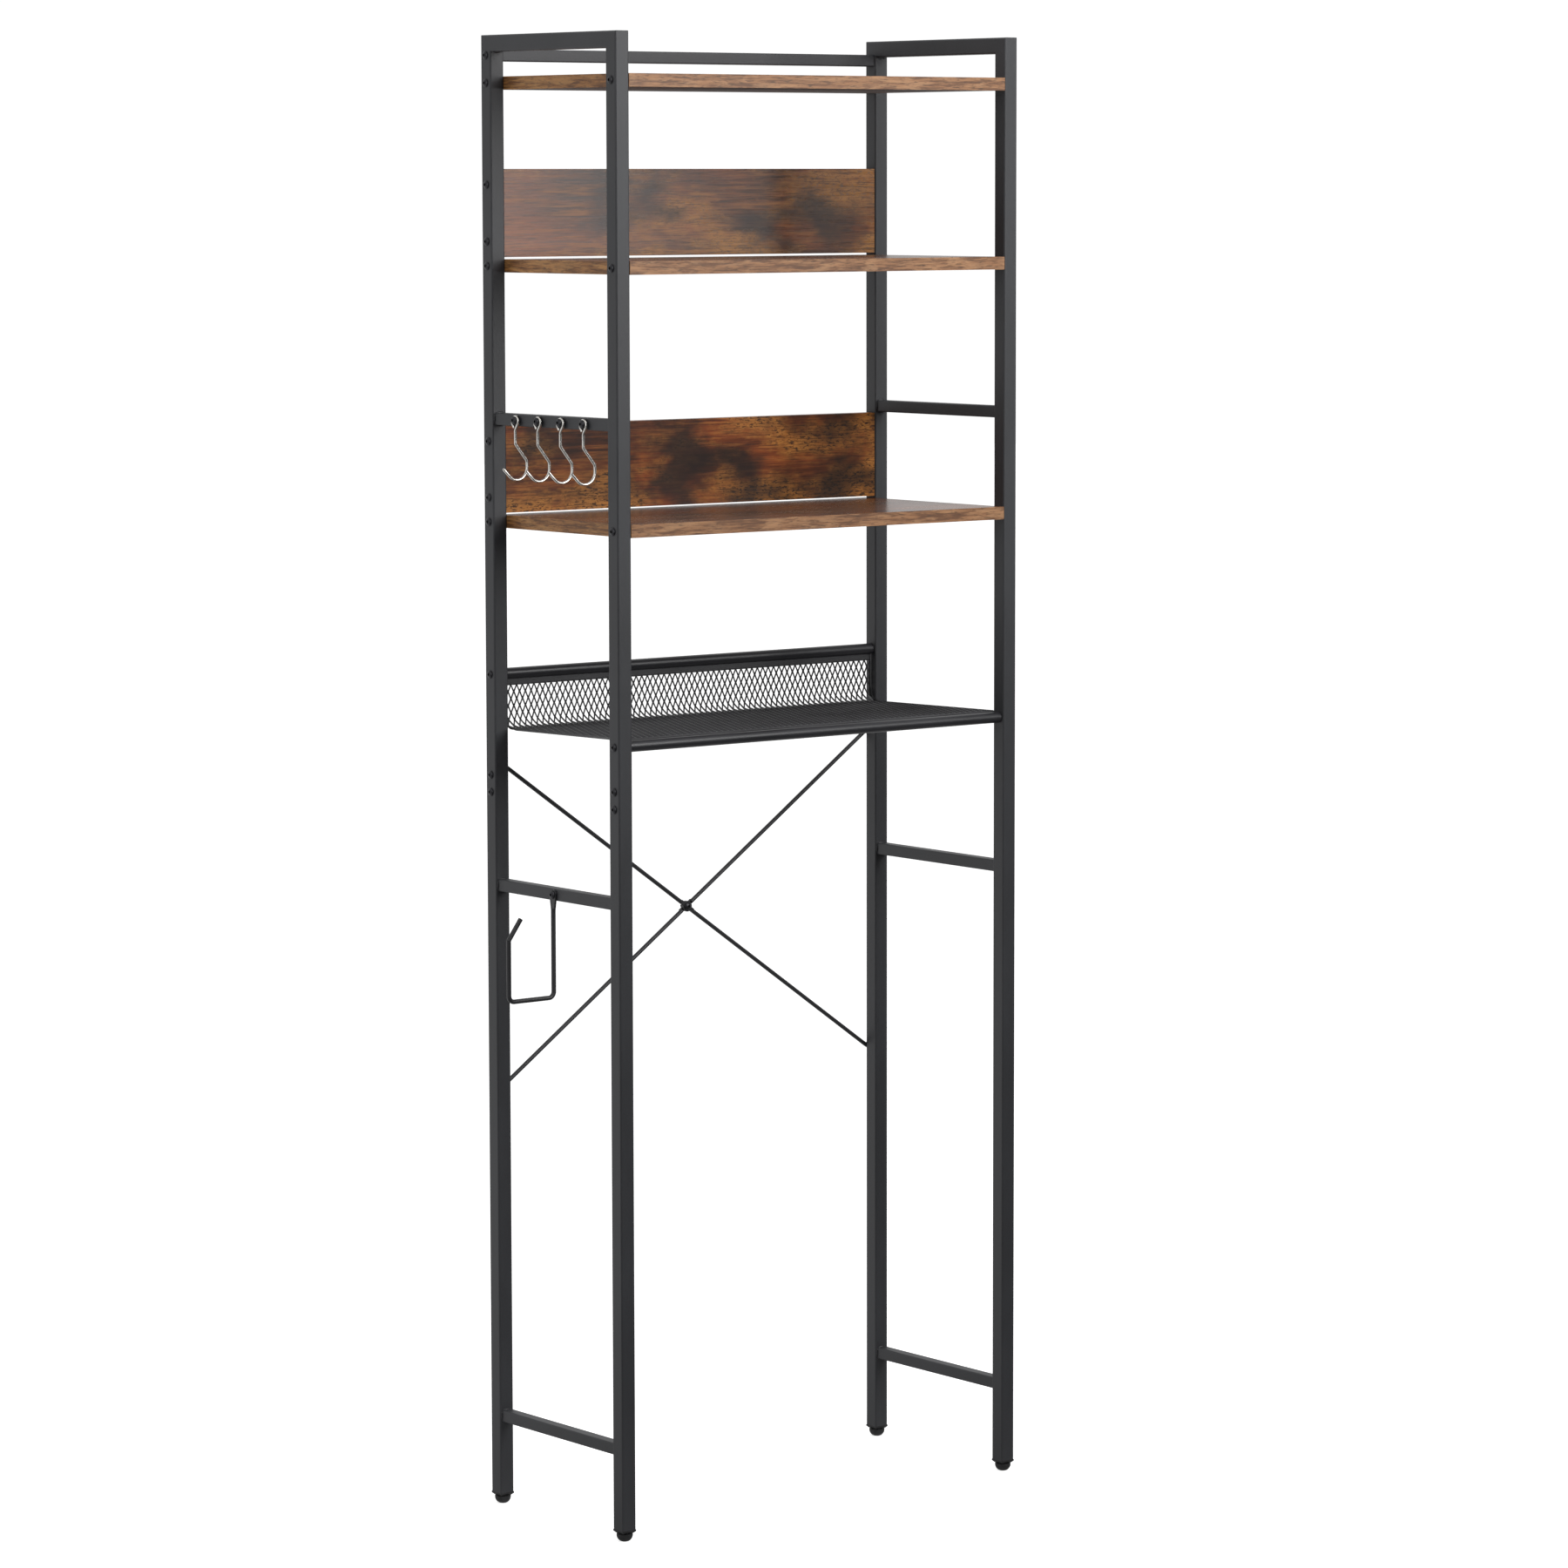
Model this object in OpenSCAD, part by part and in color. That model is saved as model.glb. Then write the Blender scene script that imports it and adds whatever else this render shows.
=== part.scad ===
// Over-the-toilet storage rack: two welded tube side frames, each split into an upper and a lower
// half, joined by three boards, two backboards, a top rail, a mesh basket and a crossed brace.
// X runs across the rack, Y from front to back and Z up from the floor.

/* [Frame] */
// Width across the outer faces of the posts
frame_w = 587; // [480:1:720]
// Depth across the outer faces of the posts
frame_d = 260; // [210:1:320]
// Height of the lower side frames' joint above the floor
lower_h = 832; // [680:1:1000]
// Height of the upper side frames, from the joint to the top
upper_h = 883; // [735:1:1060]
// Side of the square post tube
post = 19; // [15.5:0.1:23]
// Wall of the post tube
post_wall = 1.2; // [0.8:0.1:1.5]
// Outside corner radius of the post tube
post_corner = 2; // [1:0.1:2.4]
// Side of the square rung and rail tube
rung = 14; // [11.5:0.1:17]
// Wall of the rung and rail tube
rung_wall = 1; // [0.8:0.1:1.2]
// Outside corner radius of the rung tube
rung_corner = 1.5; // [1:0.1:2]

/* [Levels] */
// Top rail's upper face below the top of the frame
rail_drop = 16; // [4:1:20]
// Top shelf's upper face below the top of the frame
top_shelf_drop = 47; // [40:1:60]
// Middle shelf's upper face below the top of the frame
middle_shelf_drop = 256; // [220:1:290]
// Bottom shelf's upper face below the top of the frame
bottom_shelf_drop = 550.5; // [480:0.5:560]
// Upper rungs' top face below the top of the frame
hook_rung_drop = 432; // [350:1:460]
// Basket's rear tube axis above the frame joint
basket_rear_rise = 148; // [130:1:150]
// Basket's front tube axis above the frame joint
basket_front_rise = 81.5; // [75:0.5:95]
// Lower frames' upper rung top face below the frame joint
lower_rung_drop = 90.5; // [70:0.5:150]
// Bottom rung's top face above the floor
bottom_rung_rise = 113; // [80:1:200]

/* [Boards] */
// Thickness of the shelves and backboards
board_t = 15; // [12:0.5:18]
// Height of a backboard
backboard_h = 101; // [80:1:120]
// Gap between a backboard and the shelf below it
backboard_gap = 2.5; // [1:0.5:10]
// Distance between the two screws in a backboard's end
backboard_screw_pitch = 65; // [40:1:70]

/* [Basket] */
// Outside diameter of the basket's tubes
basket_tube = 13; // [11:0.5:15]
// Wall of the basket's tubes
basket_wall = 1; // [0.8:0.1:1.2]
// Thickness of the mesh sheet
mesh_t = 1; // [0.8:0.1:1.5]
// Bend radius between the basket's back and floor, to the middle of the sheet
mesh_bend_r = 14; // [8:1:25]
// Gap between the mesh sheet and the posts
mesh_side_gap = 1; // [0.5:0.5:3]
// Rear edge of the basket floor above the frame joint
mesh_floor_rise = 84; // [82:0.5:90]
// Width of the lip that rests on the front tube
mesh_lip = 3; // [2:0.5:5]

/* [Brace] */
// Diameter of the brace rods
brace_rod_d = 5; // [4:0.5:6]
// Height of the brace's upper ends above the frame joint
brace_top_rise = 52; // [45:1:70]
// Depth of the brace's lower ends below the frame joint
brace_bottom_drop = 348; // [250:1:500]
// Thickness of a flattened rod end
brace_ear_t = 2; // [1.5:0.1:2.5]
// Radius of a flattened rod end
brace_ear_r = 6; // [5:0.5:7.5]
// Radius of the flattened middle of a rod
brace_hub_r = 6.5; // [6:0.5:8]

/* [Hooks] */
// Distance between hooks
hook_pitch = 44; // [42:1:50]
// Wire diameter of a hook
hook_wire = 3.2; // [2.5:0.1:4]
// Inside radius of a hook's eye
hook_eye_r = 4.2; // [3.8:0.1:5]
// Diameter of the bead that closes the eye
hook_bead_d = 4.6; // [4.2:0.1:5.5]
// Length of the straight shank below the eye
hook_shank = 18; // [14:1:28]
// Sideways step of the hook below its shank
hook_step = 16; // [12:1:18]
// Height of the sloping stretch
hook_slope_h = 19; // [14:1:24]
// Straight stretch above the hook's bowl
hook_side = 8.5; // [5:0.5:14]
// Radius of the hook's bowl, to the middle of the wire
hook_bowl_r = 14; // [10:0.5:15]
// Straight length of the hook's tip
hook_tip = 13; // [8:1:18]

/* [Paper roll holder] */
// Wire diameter of the roll holder
holder_rod_d = 5.5; // [5:0.1:6]
// Thickness of the holder's flattened ear
holder_ear_t = 2.5; // [2:0.1:3]
// Radius of the holder's flattened ear
holder_ear_r = 6; // [5.5:0.5:7]
// Length of the taper from the ear to the round wire
holder_neck = 19; // [14:1:24]
// Depth of the holder's bar below its bolt
holder_drop = 119; // [90:1:150]
// Length of the holder's bar, out from the frame
holder_reach = 63; // [50:1:75]
// Height of the upright above the bar
holder_upright = 71; // [50:1:90]
// Bend radius of the holder's corners
holder_bend_r = 7; // [6:0.5:10]
// Sideways run of the holder's sloping tip
holder_tip_run = 17; // [10:1:22]
// Height of the holder's sloping tip
holder_tip_rise = 23.5; // [15:0.5:30]

/* [Fasteners] */
// Thread diameter of the screws
screw_d = 5; // [4:0.5:5.5]
// Head diameter of the screws
screw_head_d = 9.5; // [8:0.5:11]
// Head height of the screws
screw_head_h = 2.8; // [2:0.1:3.2]
// Width across the corners of the hex socket
socket_d = 3.6; // [2.5:0.1:4]
// Depth of the hex socket
socket_depth = 1.6; // [1:0.1:1.9]
// Clearance round a screw in a post, on the radius
screw_gap = 0.25; // [0.1:0.05:0.5]
// Depth that a screw reaches into a board or a tube end
bite = 14; // [10:1:20]
// Outside diameter of a board insert
insert_d = 8; // [7.5:0.5:10]
// Diameter of a rivet nut
rivet_d = 7; // [6.5:0.5:8]
// Length of a rivet nut
rivet_len = 10; // [8:0.5:10]
// Diameter of the washer behind a hook
washer_d = 11; // [9:0.5:12]
// Thickness of the washer behind a hook
washer_t = 1; // [0.6:0.1:1.5]
// Running gap beside and inside a hook's eye
hook_gap = 0.3; // [0.2:0.05:0.5]

/* [Frame joint] */
// Wall of the connector tube inside the posts
connector_wall = 1.5; // [1:0.1:2]
// Length of the connector above the frame joint
connector_up = 42; // [38:1:60]
// Length of the connector below the frame joint
connector_down = 40; // [30:1:60]
// Clearance round the connector in the upper post
connector_gap = 0.15; // [0.05:0.05:0.3]
// Height of the connector's lower screw above the joint
connector_screw_rise = 11; // [8:1:14]
// Distance between the connector's screws
connector_screw_pitch = 20; // [14:1:22]

/* [Feet] */
// Diameter of a levelling foot
foot_d = 19; // [14:0.5:23]
// Diameter of the foot's flat bottom
foot_pad_d = 8.4; // [6:0.2:12]
// Height of the foot's rounded base
foot_h = 8.7; // [7:0.1:12]
// Height of the collar between a foot and its plug
foot_collar_h = 0.8; // [0.4:0.1:2]
// Diameter of the collar
foot_collar_d = 11; // [8:0.5:12]
// Diameter of the foot's threaded stud
stud_d = 6; // [5:0.5:8]
// Length of the stud inside the plug
stud_len = 22; // [16:1:24]
// Running clearance round the stud, on the radius
stud_gap = 0.06; // [0.03:0.01:0.1]
// Height of the plug's chamfered rim
plug_rim_h = 4; // [2:0.5:6]
// Inset of the plug's rim at its lower edge
plug_chamfer = 2.2; // [1:0.1:3]
// Length of the plug inside the post
plug_len = 24; // [18:1:30]

/* [Hidden] */
$fn = 48;

powder_coat = "#3b3c40";
board_face = "#7b4b30";
mesh_black = "#2a2b2d";
black_oxide = "#1c1c1e";
nickel = "#c9cacb";
zinc = "#a9adb0";
plastic_black = "#1a1a1b";

// Overlap that carries a cut past the faces it opens.
over = 1;
// Facets of a large arc.
arc_fn = 96;
// Smallest inside corner radius of a tube.
least_corner = 0.3;
// Hooks on the left upper rung, one node each.
hook_count = 4;
// How far a screw stops short of the end of its thread.
screw_short = 1;
// Wall and length of the threaded bushes in a connector.
bush_wall = 2;
bush_len = 4;
// Gap between a hanging eye and the screw it hangs on.
eye_seat_gap = 0.1;

// Heights above the floor.
top_z = lower_h + upper_h;
shelf_levels = [top_z - top_shelf_drop, top_z - middle_shelf_drop, top_z - bottom_shelf_drop];
backboard_levels = [for (i = [1, 2]) shelf_levels[i] + backboard_gap];
hook_rung_z = top_z - hook_rung_drop - rung;
rail_z = top_z - rail_drop - rung;
lower_rung_z = lower_h - lower_rung_drop - rung;
bottom_rung_z = bottom_rung_rise - rung;
basket_rear_z = lower_h + basket_rear_rise;
basket_front_z = lower_h + basket_front_rise;
brace_top_z = lower_h + brace_top_rise;
brace_bottom_z = lower_h - brace_bottom_drop;
foot_top_z = foot_h + foot_collar_h;
post_bottom_z = foot_top_z + plug_rim_h;
connector_screws_z = [for (i = [0, 1]) lower_h + connector_screw_rise + i * connector_screw_pitch];
shelf_screws_z = [for (z = shelf_levels) z - board_t / 2];
backboard_screws_z = [for (z = backboard_levels, s = [-1, 1])
    z + backboard_h / 2 + s * backboard_screw_pitch / 2];

// Plan positions.
inner_w = frame_w - 2 * post;
front_y = post / 2;
rear_y = frame_d - post / 2;
rung_inset = (post - rung) / 2;
hooks_y = [for (i = [0 : hook_count - 1]) frame_d / 2 + (i - (hook_count - 1) / 2) * hook_pitch];
holder_rod_x = rung_inset - holder_ear_t / 2;
holder_y = frame_d / 2;

// Extra diameter of a wire at a kink.
kink_swell = 0.15;

// Brace rods stand just clear of the posts; their nut is on the rear rod.
rod_stand_off = 0.5;
rod_y = frame_d + rod_stand_off + brace_rod_d / 2;
nut_h = 4;
nut_across = 9;

// The rack stands on the middle of its own bounding box.
lowest_x = holder_rod_x - holder_reach - (holder_rod_d + kink_swell) / 2;
highest_x = frame_w + screw_head_h;
highest_y = max(rod_y + brace_rod_d / 2 + nut_h, frame_d + brace_ear_t + screw_head_h);
centre_x = (lowest_x + highest_x) / 2;
centre_y = highest_y / 2;

// Tube insides.
post_inner = post - 2 * post_wall;
post_inner_corner = max(post_corner - post_wall, least_corner);
rung_inner = rung - 2 * rung_wall;
rung_inner_corner = max(rung_corner - rung_wall, least_corner);
basket_inner = basket_tube - 2 * basket_wall;

// Hook heights below the axis of its screw.
eye_mid_r = hook_eye_r + hook_wire / 2;
eye_drop = hook_eye_r - screw_d / 2 - eye_seat_gap;
bead_z = -eye_drop - eye_mid_r - hook_wire / 2;
bead_bite = 0.3;
shank_end = bead_z - hook_shank;
slope_end = shank_end - hook_slope_h;
bowl_z = slope_end - hook_side;
hook_x = rung_inset - washer_t - hook_gap - hook_wire / 2;
hook_head_x = hook_x - hook_wire / 2 - hook_gap;

// Brace geometry, in the plane behind the rear posts.
brace_dx = frame_w - post;
brace_dz = brace_top_z - brace_bottom_z;
brace_len = sqrt(brace_dx * brace_dx + brace_dz * brace_dz);
brace_angle = atan2(brace_dz, brace_dx);
brace_mid_z = (brace_top_z + brace_bottom_z) / 2;

// Placing.
module on_floor() translate([-centre_x, -centre_y, 0]) children();

module left() children();

module right() translate([frame_w, 0, 0]) mirror([1, 0, 0]) children();

module both_sides() {
    left() children();
    right() children();
}

// Stock shapes.
module rounded_square(side, r) {
    translate([r, 0]) square([side - 2 * r, side]);
    translate([0, r]) square([side, side - 2 * r]);
    for (x = [r, side - r], y = [r, side - r])
        translate([x, y]) circle(r);
}

module tube_section(side, wall, r, inner_r) difference() {
    rounded_square(side, r);
    translate([wall, wall]) rounded_square(side - 2 * wall, inner_r);
}

module extrude_x(length) rotate([90, 0, 90]) linear_extrude(length) children();

module extrude_back(length) translate([0, length, 0]) rotate([90, 0, 0]) linear_extrude(length) children();

module bar_x(d, length) rotate([0, 90, 0]) cylinder(d = d, h = length);

module rod_xz(from, to, d) {
    run = to[0] - from[0];
    rise = to[1] - from[1];
    translate([from[0], 0, from[1]]) rotate([0, atan2(run, rise), 0])
        cylinder(d = d, h = sqrt(run * run + rise * rise));
}

module bend_xz(centre, r, start, turn, d) translate([centre[0], 0, centre[1]]) rotate([90, 0, 0])
    rotate([0, 0, start]) rotate_extrude(angle = turn) translate([r, 0]) circle(d = d);

// A wire is a little fuller where it is kinked or cut.
module kink(at, d) translate([at[0], 0, at[1]]) sphere(d = d + kink_swell);

// Button-head screw along +X, its head's underside at the origin.
module button_screw(length) {
    edge_h = 0.9;
    dome_h = screw_head_h - edge_h;
    dome_r = (screw_head_d * screw_head_d / 4 + dome_h * dome_h) / (2 * dome_h);
    difference() {
        union() {
            rotate([0, -90, 0]) rotate_extrude() {
                square([screw_head_d / 2, edge_h]);
                intersection() {
                    translate([0, screw_head_h - dome_r]) circle(dome_r, $fn = arc_fn);
                    translate([0, edge_h]) square([screw_head_d / 2, dome_h]);
                }
            }
            bar_x(screw_d, length);
        }
        translate([-screw_head_h - over, 0, 0]) bar_x(socket_d, socket_depth + over, $fn = 6);
    }
}

module screw_hole(length) translate([-over, 0, 0]) bar_x(screw_d + 2 * screw_gap, length + 2 * over);

module threaded_bush(d, length) difference() {
    bar_x(d, length);
    translate([-over, 0, 0]) bar_x(screw_d, length + 2 * over);
}

// Side frames, drawn for the left side.
module post_tube(y, from_z, to_z) translate([0, y, from_z])
    linear_extrude(to_z - from_z) tube_section(post, post_wall, post_corner, post_inner_corner);

module upper_post(is_front) {
    y = is_front ? 0 : frame_d - post;
    mid_y = y + post / 2;
    outer_top = is_front ? [0, top_z] : [post, top_z];
    inner_top = is_front ? [post, top_z - post] : [0, top_z - post];
    through_z = is_front
        ? concat(shelf_screws_z, [basket_front_z])
        : concat(shelf_screws_z, backboard_screws_z, [basket_rear_z, rail_z + rung / 2]);
    color(powder_coat) difference() {
        intersection() {
            post_tube(y, lower_h, top_z);
            translate([0, y, 0]) extrude_x(post)
                polygon([[0, lower_h], [post, lower_h],
                    is_front ? inner_top : outer_top, is_front ? outer_top : inner_top]);
        }
        for (z = through_z)
            translate([0, mid_y, z]) screw_hole(post);
        for (z = connector_screws_z)
            translate([0, mid_y, z]) screw_hole(post_wall);
        if (!is_front)
            translate([post / 2, 0, brace_top_z]) rear_rivet_hole();
    }
}

module rear_rivet_hole() translate([0, frame_d + over, 0]) rotate([90, 0, 0])
    cylinder(d = rivet_d, h = post_wall + 2 * over);

module lower_post(is_front) color(powder_coat) difference() {
    post_tube(is_front ? 0 : frame_d - post, post_bottom_z, lower_h);
    if (!is_front)
        translate([post / 2, 0, brace_bottom_z]) rear_rivet_hole();
}

module top_bar() color(powder_coat) difference() {
    intersection() {
        translate([0, 0, top_z - post]) extrude_back(frame_d)
            tube_section(post, post_wall, post_corner, post_inner_corner);
        extrude_x(post)
            polygon([[0, top_z], [post, top_z - post], [frame_d - post, top_z - post],
                [frame_d, top_z]]);
    }
    // A high rail's screw crosses the mitre, so its hole is cut on both sides of it.
    translate([0, rear_y, rail_z + rung / 2]) screw_hole(post);
}

module plain_rung(z) color(powder_coat)
    translate([rung_inset, post, z]) extrude_back(frame_d - 2 * post)
        tube_section(rung, rung_wall, rung_corner, rung_inner_corner);

module rung_with_nuts(z, nuts_y) color(powder_coat) difference() {
    plain_rung(z);
    for (y = nuts_y)
        translate([rung_inset - over, y, z + rung / 2]) bar_x(rivet_d, rung_wall + 2 * over);
}

// Cross pieces.
module rear_top_rail() color(powder_coat)
    translate([post, rear_y - rung / 2, rail_z]) extrude_x(inner_w)
        tube_section(rung, rung_wall, rung_corner, rung_inner_corner);

module insert_bore() translate([-over, 0, 0]) bar_x(insert_d, bite + over);

module shelf(level) color(board_face) difference() {
    translate([post, 0, level - board_t]) cube([inner_w, frame_d, board_t]);
    both_sides() for (y = [front_y, rear_y])
        translate([post, y, level - board_t / 2]) insert_bore();
}

module backboard(index) color(board_face) difference() {
    translate([post, rear_y - board_t / 2, backboard_levels[index]])
        cube([inner_w, board_t, backboard_h]);
    both_sides() for (i = [0, 1])
        translate([post, rear_y, backboard_screws_z[2 * index + i]]) insert_bore();
}

module basket_tube(y, z) color(powder_coat) translate([post, y, z]) difference() {
    bar_x(basket_tube, inner_w);
    translate([-over, 0, 0]) bar_x(basket_inner, inner_w + 2 * over);
}

// Basket sheet, seen from the end: back, bend, floor rising to the front tube, and its lip.
module mesh_profile() {
    floor_rear = [rear_y - mesh_bend_r, lower_h + mesh_floor_rise];
    seat_angle = 45;
    lip_dir = [cos(seat_angle), sin(seat_angle)];
    lip_top = [front_y, basket_front_z] + (basket_tube / 2 + mesh_lip) * lip_dir;
    floor_run = floor_rear[0] - lip_top[0];
    floor_rise = lip_top[1] - floor_rear[1];
    floor_len = sqrt(floor_run * floor_run + floor_rise * floor_rise);
    slope = atan2(floor_rise, floor_run);
    bend_mid = [floor_rear[0], floor_rear[1] + mesh_bend_r];
    translate([rear_y - mesh_t / 2, bend_mid[1]]) square([mesh_t, basket_rear_z - bend_mid[1]]);
    intersection() {
        difference() {
            translate(bend_mid) circle(mesh_bend_r + mesh_t / 2, $fn = arc_fn);
            translate(bend_mid) circle(mesh_bend_r - mesh_t / 2, $fn = arc_fn);
        }
        translate([bend_mid[0], bend_mid[1] - 2 * mesh_bend_r])
            square([2 * mesh_bend_r, 2 * mesh_bend_r]);
    }
    translate(floor_rear) rotate(180 - slope) translate([0, -mesh_t / 2])
        square([floor_len, mesh_t]);
    translate(floor_rear) circle(mesh_t / 2);
    translate(lip_top) circle(mesh_t / 2);
    translate(lip_top) rotate(180 + seat_angle) translate([0, -mesh_t / 2])
        square([mesh_lip + mesh_t / 2, mesh_t]);
}

module basket_mesh_panel() color(mesh_black) difference() {
    translate([post + mesh_side_gap, 0, 0]) extrude_x(inner_w - 2 * mesh_side_gap) mesh_profile();
    translate([0, front_y, basket_front_z]) bar_x(basket_tube, frame_w);
    translate([0, rear_y, basket_rear_z]) bar_x(basket_tube, frame_w);
}

// Brace rods: flattened at both ends, where they are screwed on, and halved where they cross.
module brace_flat(r, neck, t) {
    cylinder(r = r, h = t);
    translate([0, -brace_rod_d / 2, 0]) cube([r + neck, brace_rod_d, t]);
}

module brace_rod(tilt, is_front_half) {
    ear_neck = 6;
    hub_neck = 4;
    hub_t = brace_rod_d / 2;
    ear_y = frame_d;
    hub_y = frame_d + rod_stand_off + (is_front_half ? 0 : hub_t);
    color(powder_coat) translate([frame_w / 2, 0, brace_mid_z]) rotate([0, tilt, 0]) difference() {
        union() {
            for (s = [0, 180]) rotate([0, s, 0]) {
                translate([brace_hub_r + hub_neck / 2, rod_y, 0])
                    bar_x(brace_rod_d, brace_len / 2 - 2 * brace_ear_r - hub_neck);
                translate([brace_len / 2, ear_y + brace_ear_t, 0]) rotate([90, 0, 0])
                    rotate([0, 0, 180]) brace_flat(brace_ear_r, ear_neck, brace_ear_t);
                translate([0, hub_y + hub_t, 0]) rotate([90, 0, 0])
                    brace_flat(brace_hub_r, hub_neck, hub_t);
            }
        }
        for (x = [-brace_len / 2, 0, brace_len / 2])
            translate([x, frame_d + brace_rod_d + 2 * over, 0]) rotate([90, 0, 0])
                cylinder(d = screw_d + 2 * screw_gap, h = brace_rod_d + 3 * over);
    }
}

module brace_centre_screw() color(black_oxide)
    translate([frame_w / 2, frame_d + rod_stand_off, brace_mid_z]) rotate([0, 0, 90])
        button_screw(brace_rod_d + nut_h);

module brace_centre_nut() color(black_oxide)
    translate([frame_w / 2, rod_y + brace_rod_d / 2, brace_mid_z]) rotate([-90, 0, 0]) difference() {
        cylinder(d = nut_across, h = nut_h, $fn = 6);
        translate([0, 0, -over]) cylinder(d = screw_d, h = nut_h + 2 * over);
    }

module brace_screws() color(black_oxide) both_sides() for (z = [brace_top_z, brace_bottom_z])
    translate([post / 2, frame_d + brace_ear_t, z]) rotate([0, 0, -90])
        button_screw(brace_ear_t + rivet_len - screw_short);

// Frame joint.
module connector(mid_y) color(zinc) {
    upper_side = post_inner - 2 * connector_gap;
    lower_side = post_inner;
    bush_d = screw_d + 2 * bush_wall;
    translate([post / 2, mid_y, lower_h]) {
        difference() {
            union() {
                translate([-lower_side / 2, -lower_side / 2, -connector_down])
                    linear_extrude(connector_down)
                        tube_section(lower_side, connector_wall, post_inner_corner,
                            post_inner_corner);
                translate([-upper_side / 2, -upper_side / 2, 0])
                    linear_extrude(connector_up)
                        tube_section(upper_side, connector_wall, post_inner_corner,
                            post_inner_corner);
                for (z = connector_screws_z)
                    translate([-upper_side / 2 + connector_wall / 2, 0, z - lower_h])
                        bar_x(bush_d, bush_len);
            }
            for (z = connector_screws_z)
                translate([-upper_side / 2 - over, 0, z - lower_h])
                    bar_x(screw_d, bush_len + connector_wall + 2 * over);
        }
    }
}

module connector_screws() {
    length = post_wall + connector_gap + connector_wall + bush_len - screw_short;
    color(black_oxide) both_sides() for (y = [front_y, rear_y], z = connector_screws_z)
        translate([0, y, z]) button_screw(length);
}

// Feet.
module foot_plug(mid_y) color(plastic_black) {
    rim = post;
    rim_low = post - 2 * plug_chamfer;
    translate([post / 2, mid_y, foot_top_z]) difference() {
        union() {
            intersection() {
                translate([0, rim, 0]) rotate([90, 0, 0]) linear_extrude(2 * rim)
                    plug_rim_side(rim, rim_low);
                translate([-rim, 0, 0]) extrude_x(2 * rim) plug_rim_side(rim, rim_low);
            }
            translate([-post_inner / 2, -post_inner / 2, plug_rim_h]) linear_extrude(plug_len)
                rounded_square(post_inner, post_inner_corner);
        }
        translate([0, 0, -over]) cylinder(d = stud_d, h = plug_rim_h + plug_len + 2 * over);
    }
}

module plug_rim_side(rim, rim_low) polygon([[-rim_low / 2, 0], [rim_low / 2, 0],
    [rim / 2, plug_chamfer], [rim / 2, plug_rim_h], [-rim / 2, plug_rim_h],
    [-rim / 2, plug_chamfer]]);

module levelling_foot(mid_y) color(plastic_black) translate([post / 2, mid_y, 0]) {
    foot_r = foot_d / 2;
    inset = foot_r - foot_pad_d / 2;
    edge_h = 1.2;
    arc_h = foot_h - edge_h;
    arc_r = (inset * inset + arc_h * arc_h) / (2 * inset);
    rotate_extrude() intersection() {
        square([foot_r, foot_h]);
        union() {
            translate([foot_r - arc_r, arc_h]) circle(arc_r, $fn = arc_fn);
            translate([0, arc_h]) square([foot_r, foot_h - arc_h]);
        }
    }
    translate([0, 0, foot_h]) cylinder(d = foot_collar_d, h = foot_collar_h);
    translate([0, 0, foot_top_z]) cylinder(d = stud_d - 2 * stud_gap, h = stud_len);
}

// Hooks and their screws, on the left upper rung.
module hook(index) color(nickel) translate([hook_x, hooks_y[index], hook_rung_z + rung / 2]) {
    bowl_turn = 135;
    tip_at = 360 - bowl_turn;
    bowl_mid = [hook_step - hook_bowl_r, bowl_z];
    tip_start = bowl_mid + hook_bowl_r * [cos(tip_at), sin(tip_at)];
    tip_end = tip_start + hook_tip * [cos(tip_at - 90), sin(tip_at - 90)];
    translate([0, 0, -eye_drop]) rotate([0, 90, 0]) rotate_extrude()
        translate([eye_mid_r, 0]) circle(d = hook_wire);
    translate([0, 0, bead_z]) sphere(d = hook_bead_d);
    rod_xz([0, bead_z - bead_bite], [0, shank_end], hook_wire);
    kink([0, shank_end], hook_wire);
    rod_xz([0, shank_end], [hook_step, slope_end], hook_wire);
    kink([hook_step, slope_end], hook_wire);
    rod_xz([hook_step, slope_end], [hook_step, bowl_z], hook_wire);
    kink([hook_step, bowl_z], hook_wire);
    bend_xz(bowl_mid, hook_bowl_r, tip_at, bowl_turn, hook_wire);
    kink(tip_start, hook_wire);
    rod_xz(tip_start, tip_end, hook_wire);
    kink(tip_end, hook_wire);
}

module hook_screws() color(black_oxide) for (y = hooks_y)
    translate([hook_head_x, y, hook_rung_z + rung / 2])
        button_screw(rung_inset - hook_head_x + rivet_len - screw_short);

module hook_washers() color(black_oxide) for (y = hooks_y)
    translate([rung_inset - washer_t, y, hook_rung_z + rung / 2]) difference() {
        bar_x(washer_d, washer_t);
        translate([-over, 0, 0]) bar_x(screw_d, washer_t + 2 * over);
    }

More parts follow.
